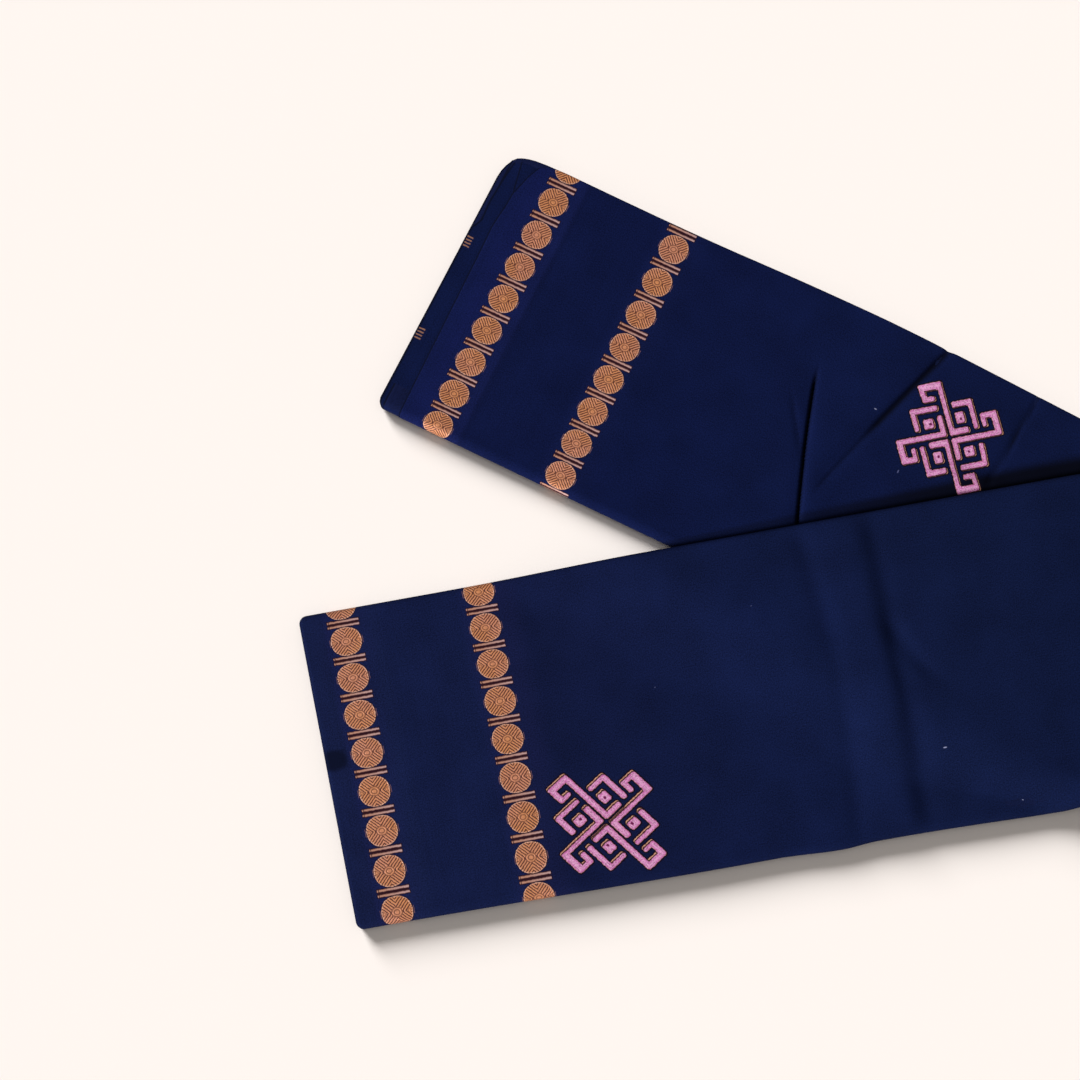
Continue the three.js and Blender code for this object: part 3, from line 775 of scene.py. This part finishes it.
def printed_fret(tree, place, ragged, fret, slubs, uneven, colour, height):
    """Adds the block print: gold-brown paste, then pink over it out of register, with a dark line between."""
    middle, u_heading, w_heading, u_unit, w_unit, slip = fret
    u = Vector((math.cos(math.radians(u_heading)), math.sin(math.radians(u_heading)))) * u_unit
    w = Vector((math.cos(math.radians(w_heading)), math.sin(math.radians(w_heading)))) * w_unit
    det = u.x * w.y - u.y * w.x
    rough = add_node(tree, "VectorMath", [ragged, (1.3, 1.3, 0), place], operation="MULTIPLY_ADD")
    off = add_node(tree, "VectorMath", [rough, (middle[0], middle[1], 0)], operation="SUBTRACT")
    to_u = add_node(tree, "VectorMath", [off, (w.y / det, -w.x / det, 0)], out=1, operation="DOT_PRODUCT")
    to_w = add_node(tree, "VectorMath", [off, (-u.y / det, u.x / det, 0)], out=1, operation="DOT_PRODUCT")
    at = add_node(tree, "CombineXYZ", [to_u, to_w])
    block, to_dot = fret_distance(tree, at)
    slipped, _ = fret_distance(tree, add_node(tree, "VectorMath", [at, (*slip, 0)], operation="ADD"))
    inset = add_node(tree, "Math", [slipped, -0.04], operation="ADD")
    within = add_node(tree, "Math", [block, 0.06], operation="ADD")
    pink = add_node(tree, "Math", [within, inset], operation="MAXIMUM")
    line = add_node(tree, "Math", [inset, 0.12], operation="SUBTRACT")
    line = add_node(tree, "Math", [line], operation="ABSOLUTE")
    halo = add_node(tree, "MapRange", [block, 0.16, 0.38, 1.0, 0.0], interpolation_type="SMOOTHSTEP")
    gold = add_node(tree, "MapRange", [block, -0.06, 0.04, 1.0, 0.0], interpolation_type="SMOOTHSTEP")
    in_pink = add_node(tree, "MapRange", [pink, -0.06, 0.05, 1.0, 0.0], interpolation_type="SMOOTHSTEP")
    dark_line = add_node(tree, "MapRange", [line, 0.08, 0.17, 0.95, 0.0], interpolation_type="SMOOTHSTEP")
    dark_line = add_node(tree, "Math", [dark_line, gold], operation="MULTIPLY")
    # The paste is thick and thin in patches of 2 mm, and bare in specks and at the bars' edges. Along the
    # bars' middles, where it is cracked, it is lighter: a painted highlight.
    paste_tone_and_highlight = add_node(tree, "MapRange", [uneven, 0.42, 0.58, -0.35, 0.6])
    painted_highlight_mid_bar = add_node(tree, "MapRange", [pink, -0.1, -0.5, 0.0, 0.65])
    paste_tone_and_highlight = add_node(tree, "Math", [paste_tone_and_highlight, painted_highlight_mid_bar], operation="ADD", use_clamp=True)
    worn = add_node(tree, "MapRange", [slubs, 0.34, 0.6, 0.0, 1.0])
    bare = add_node(tree, "MapRange", [slubs, 0.36, 0.45, 0.75, 0.0])
    thin_edge = add_node(tree, "MapRange", [pink, -0.3, -0.03, 0.0, 0.6])
    bare = add_node(tree, "Math", [bare, thin_edge], operation="MAXIMUM")
    pink_colour = add_node(tree, "Mix", {0: paste_tone_and_highlight, 6: linear("#CB76B0"), 7: linear("#FBC2E8")}, out=2,
                           data_type="RGBA")
    pink_colour = add_node(tree, "Mix", {0: bare, 6: pink_colour, 7: linear("#93437C")}, out=2,
                           data_type="RGBA")
    crack = add_node(tree, "Math", [pink, 0.4], operation="ADD")
    crack = add_node(tree, "Math", [crack], operation="ABSOLUTE")
    crack = add_node(tree, "MapRange", [crack, 0.04, 0.16, 0.85, 0.0])
    broken = add_node(tree, "MapRange", [uneven, 0.49, 0.53, 0.0, 1.0])
    cracked = add_node(tree, "Math", [crack, broken], operation="MULTIPLY")
    dot = add_node(tree, "MapRange", [to_dot, 0.24, 0.44, 1.0, 0.0], interpolation_type="SMOOTHSTEP")
    gold_colour = add_node(tree, "Mix", {0: worn, 6: linear("#8A5848"), 7: linear("#DCA688")}, out=2,
                           data_type="RGBA")
    for laid, amount in ((linear("#120616"), halo), (gold_colour, gold), (pink_colour, in_pink),
                         (linear("#220818"), dark_line), (linear("#8A3E70"), cracked),
                         (linear("#6A1C4C"), dot)):
        colour = add_node(tree, "Mix", {0: amount, 6: colour, 7: laid}, out=2, data_type="RGBA")
    return colour, add_node(tree, "Math", [gold, 0.14, height], operation="MULTIPLY_ADD")


# Hidden layers
# The 22 layers between the outer faces, as they really run: one long sheet that goes to and fro across the
# strip, round the letter fold and the three halvings. Each layer's selvedge ends a little off the others'.
OUTER_LEVELS = (1, 2, 21, 22)
# Shift of the cloth's own two ends from the edge of the side where they lie, in mm
FREE_EDGE = {1: -2.0, -1: 9.0}


def hidden_path(levels, folds, first_side):
    """Runs at these levels joined by these folds, which begins at the layered (1) or the round (-1) side."""
    shares = [0, 0.04, 0.12, 0.22, 0.37, 0.52, 0.68, 0.84, 0.91, 0.94, 0.965, 0.985, 1]
    ends = [0.6 + 0.6 * math.sin(level * 2.4 + 1) + (4 if level in OUTER_LEVELS else 0) for level in levels]
    path = []
    side = first_side
    for i, level in enumerate(levels):
        start = folds[i - 1] if i else (side, FREE_EDGE[side], 0)
        stop = folds[i] if i < len(folds) else (-side, FREE_EDGE[-side], 0)
        run_points(path, level, start, stop, shares, ends[i])
        if i < len(folds):
            turn_points(path, folds[i], level, levels[i + 1], 5, ends[i], ends[i + 1])
        side = -side
    return path


def kept_end(part, point, t):
    """The end that the path gives for its run."""
    return point[3]


# How much thinner the hidden stack is than its full height: in the turn, on the limbs, and how much more
# between these two places along each limb, where creases and the rise press it down
THINNED_IN_TURN = 0.04
THINNED = 0.07
THINNED_MORE = 0.33
CREASED = {"upper": (262, 575), "lower": (322, LOWER_LENGTH - 8)}


def thinned(row, point, t):
    """The hidden stack gives way inside the strip, most of all under the creases and the rise."""
    part, along = row
    inside = min(t + 105, 112 - t)
    if part == "turn":
        return THINNED_IN_TURN * smooth(inside / 15)
    crease_from, crease_to = CREASED[part]
    window = smooth((along - crease_from) / 22) * smooth((crease_to - along) / 22)
    return THINNED * smooth(inside / 15) + THINNED_MORE * window * smooth(inside / 26)


LONG_CHAIN = [20, 3, 12, 11, 4, 19, 18, 5, 10, 13, 2, 21, 22, 1, 14, 9, 6, 17]
LONG_FOLDS = [ROUND_FOLD, LETTER_FOLD, INNER_FOLDS, LETTER_FOLD, ROUND_FOLD, SECOND_FOLDS, ROUND_FOLD,
              LETTER_FOLD, INNER_FOLDS, LETTER_FOLD, ROUND_FOLD, TOP_FOLDS, ROUND_FOLD, LETTER_FOLD,
              INNER_FOLDS, LETTER_FOLD, ROUND_FOLD]
SHORT_CHAIN = [16, 7, 8, 15]
SHORT_FOLDS = [ROUND_FOLD, LETTER_FOLD, INNER_FOLDS]

turn_rows = [("turn", math.pi * i / 20) for i in range(21)]
coarse_rows = [("upper", s) for s in (0, 3, 6, 10)]
coarse_rows += rows_of("upper", 16, UPPER_LENGTH - 1, 11, 268, 470, 5)
coarse_rows += turn_rows[::2]
coarse_rows += rows_of("lower", 16, LOWER_LENGTH - 1, 11, 338, 430, 5)[::-1]
coarse_rows += [("lower", s) for s in (10, 6, 3, 0)]
hidden_cotton = navy_cotton("navy_cotton_inside", [(0, "#10173A"), (200, "#0D1535")])
long_path = hidden_path(LONG_CHAIN, LONG_FOLDS, 1)
long_grid = cloth_grid(coarse_rows, long_path, kept_end, thinned)
inner_layers = sheet_piece("inner_layers", long_grid, INNER_THREAD, hidden_cotton)
short_path = hidden_path(SHORT_CHAIN, SHORT_FOLDS, 1)
short_grid = cloth_grid(coarse_rows, short_path, kept_end, thinned)
inner_flap = sheet_piece("inner_flap_layers", short_grid, INNER_THREAD, hidden_cotton)
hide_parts("hidden_layers")


# Lower limb's outer cloth
# The first and last layers are one sheet that wraps the strip's round side. On the lower limb and round the
# turn the one face of it shows. Its free end is the selvedge, with a dark patch beside the first row.
def outer_path(fine_low, fine_top):
    """Letter fold, lowest layer, round side, top layer and its fold, in that order."""
    path = []
    turn_points(path, LETTER_FOLD, 15, 0, 12)
    run_points(path, 0, LETTER_FOLD, ROUND_FOLD, closer_at_ends(fine_low))
    turn_points(path, ROUND_FOLD, 0, 23, 18)
    run_points(path, 23, ROUND_FOLD, TOP_FOLDS, closer_at_ends(fine_top))
    turn_points(path, TOP_FOLDS, 23, 20, 6)
    return path


def not_set_back(part, point, t):
    """The selvedge lies at the strip's end."""
    return 0.0


def not_thinned(row, point, t):
    """The outer cloth keeps its height."""
    return 0.0


lower_cotton = navy_cotton(
    "navy_cotton_lower",
    [(0, "#121B40"), (14, "#121A3E"), (20, "#161C47"), (52, "#121B40"), (60, "#10193E"), (112, "#10193E"),
     (120, "#141B43"), (148, "#12183D"), (160, "#0E1639"), (330, "#0D173B"), (420, "#0D1739"),
     (600, "#0B1536")],
    rows=((30.3, 89.7), (129.8, 81.8), (1.006, 0.0002)),
    fret=((186.8, -68.5), 32.15, 127.3, 3.0, 3.39, (0.04, 0.52)),
    selvedge=0.4,
    # A dark patch beside the first row, then small light specks
    marks=[("square", 8.4, 8.0, 7.0, 6.2, 0.3, 0.45, "#070C22"),
           ("round", 6.0, 7.0, 9.0, 7.2, 0.25, 0.75, "#070C22"),
           ("round", 431.9, -60.6, 1.2, 0.5, 0.4, 0.9, "#8E93B4"),
           ("round", 479.1, -106.0, 0.8, 0.4, 0.4, 0.8, "#8E93B4"),
           ("round", 240.0, 18.0, 0.5, 0.4, 0.4, 0.35, "#6C72A0"),
           ("round", 318.0, 62.0, 0.5, 0.4, 0.4, 0.3, "#6C72A0")],
)
lower_rows = turn_rows + rows_of("lower", 0, LOWER_LENGTH - 2, 2.6, 345, 430, 1.7)[::-1]
lower_grid = cloth_grid(lower_rows, outer_path(84, 10), not_set_back, not_thinned, face=0, direction=-1)
lower_sheet = sheet_piece("lower_limb_sheet", lower_grid, THREAD, lower_cotton)
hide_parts("lower_limb_cloth", "turn_cloth")

# Upper limb's outer cloth
# The same sheet beyond the turn, with its other face up. Its selvedge is set back from the free end, most of
# all at the layered corner. Each table below is (t, s) of one layer's selvedge.
TOP_SELVEDGE = [(-116, 18.2), (26, 15.1), (50, 14.3), (69, 16.3), (80, 16.8), (98, 21.8), (108, 26.2),
                (118, 29)]
MIDDLE_SELVEDGE = [(-116, 20), (76, 20), (80, 16.8), (106, 11.7), (118, 10)]
THIRD_SELVEDGE = [(-116, 0.6), (42, 0.6), (50, 4.8), (66, 3.7), (85, 4.7), (100, 6.2), (118, 9)]


def along_table(table, t):
    """Straight lines between the places of a table."""
    for low, high in zip(table, table[1:]):
        if t <= high[0] or high is table[-1]:
            share = min(1.0, max(0.0, (t - low[0]) / (high[0] - low[0])))
            return low[1] + (high[1] - low[1]) * share


def top_end(part, point, t):
    """Selvedge of the top layer."""
    return along_table(TOP_SELVEDGE, t)


upper_cotton = navy_cotton(
    "navy_cotton_upper",
    [(0, "#091135"), (15, "#0E1742"), (30, "#101847"), (66, "#101843"), (68.5, "#0A1236"), (72, "#0B143B"),
     (128, "#0A1339"), (136, "#0E1741"), (162, "#0C153C"), (175, "#0A1339"), (300, "#0B153B"),
     (600, "#0A1333")],
    rows=((48.3, 87.0), (146.6, 93.0), (0.99, -0.00024)),
    fret=((389.6, 52.9), 40.5, 131.1, 2.99, 3.27, (0.42, -0.25)),
    marks=[("round", 420.2, 12.6, 1.0, 0.5, 0.4, 0.8, "#8E93B4"),
           ("round", 332.7, 46.5, 1.0, 0.4, 0.4, 0.8, "#8E93B4"),
           ("round", 367.5, 11.3, 0.5, 1.3, 0.4, 0.5, "#6C72A0")],
)
upper_rows = rows_of("upper", 0, UPPER_LENGTH - 1, 2.8, 266, 372, 1.0)
upper_grid = cloth_grid(upper_rows, outer_path(10, 90), top_end, not_thinned, face=23)
upper_sheet = sheet_piece("upper_limb_sheet", upper_grid, THREAD, upper_cotton)
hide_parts("upper_limb_cloth")

# Layers that show at the upper end
# The next two layers under the top one. The third layer's selvedge makes the strip's end and carries two
# groups of four short zari ticks. The layer between shows only at the layered corner.
def end_layers_end(part, point, t):
    """Selvedges of the middle and the third layer, and between them in their fold."""
    if point[2] > 21.5 or point[2] < 1.5:
        return along_table(MIDDLE_SELVEDGE, t)
    return along_table(THIRD_SELVEDGE, t)


end_path = []
turn_points(end_path, ROUND_FOLD, 1, 22, 14, extra=0.12)
run_points(end_path, 22, ROUND_FOLD, TOP_FOLDS, closer_at_ends(60))
turn_points(end_path, TOP_FOLDS, 22, 21, 5, extra=0.12)
run_points(end_path, 21, TOP_FOLDS, ROUND_FOLD, closer_at_ends(60))
turn_points(end_path, ROUND_FOLD, 21, 2, 14, extra=0.12)
end_path = [(side, shift, level + 0.1, end) for side, shift, level, end in end_path]
ticks = []
for middle in (30.6, -50.4):
    for i in range(4):
        ticks.append(("square", 3.9, middle + 2.6 * (i - 1.5), 2.4, 0.55, 0.2, 0.8, "#9A6E58"))
# Painted shade: these layers' cotton is darker than the top layer's, for the shade below the top layer's step
end_cotton_painted_darker = navy_cotton("navy_cotton_end", [(0, "#0A1437"), (12, "#0B153B"), (25, "#0A1335")], marks=ticks)
end_rows = rows_of("upper", 0, 46, 1.6)
end_grid = cloth_grid(end_rows, end_path, end_layers_end, not_thinned, face=21.1, direction=-1)
end_layers = sheet_piece("upper_end_layers", end_grid, INNER_THREAD, end_cotton_painted_darker)
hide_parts("upper_end_second_layer")
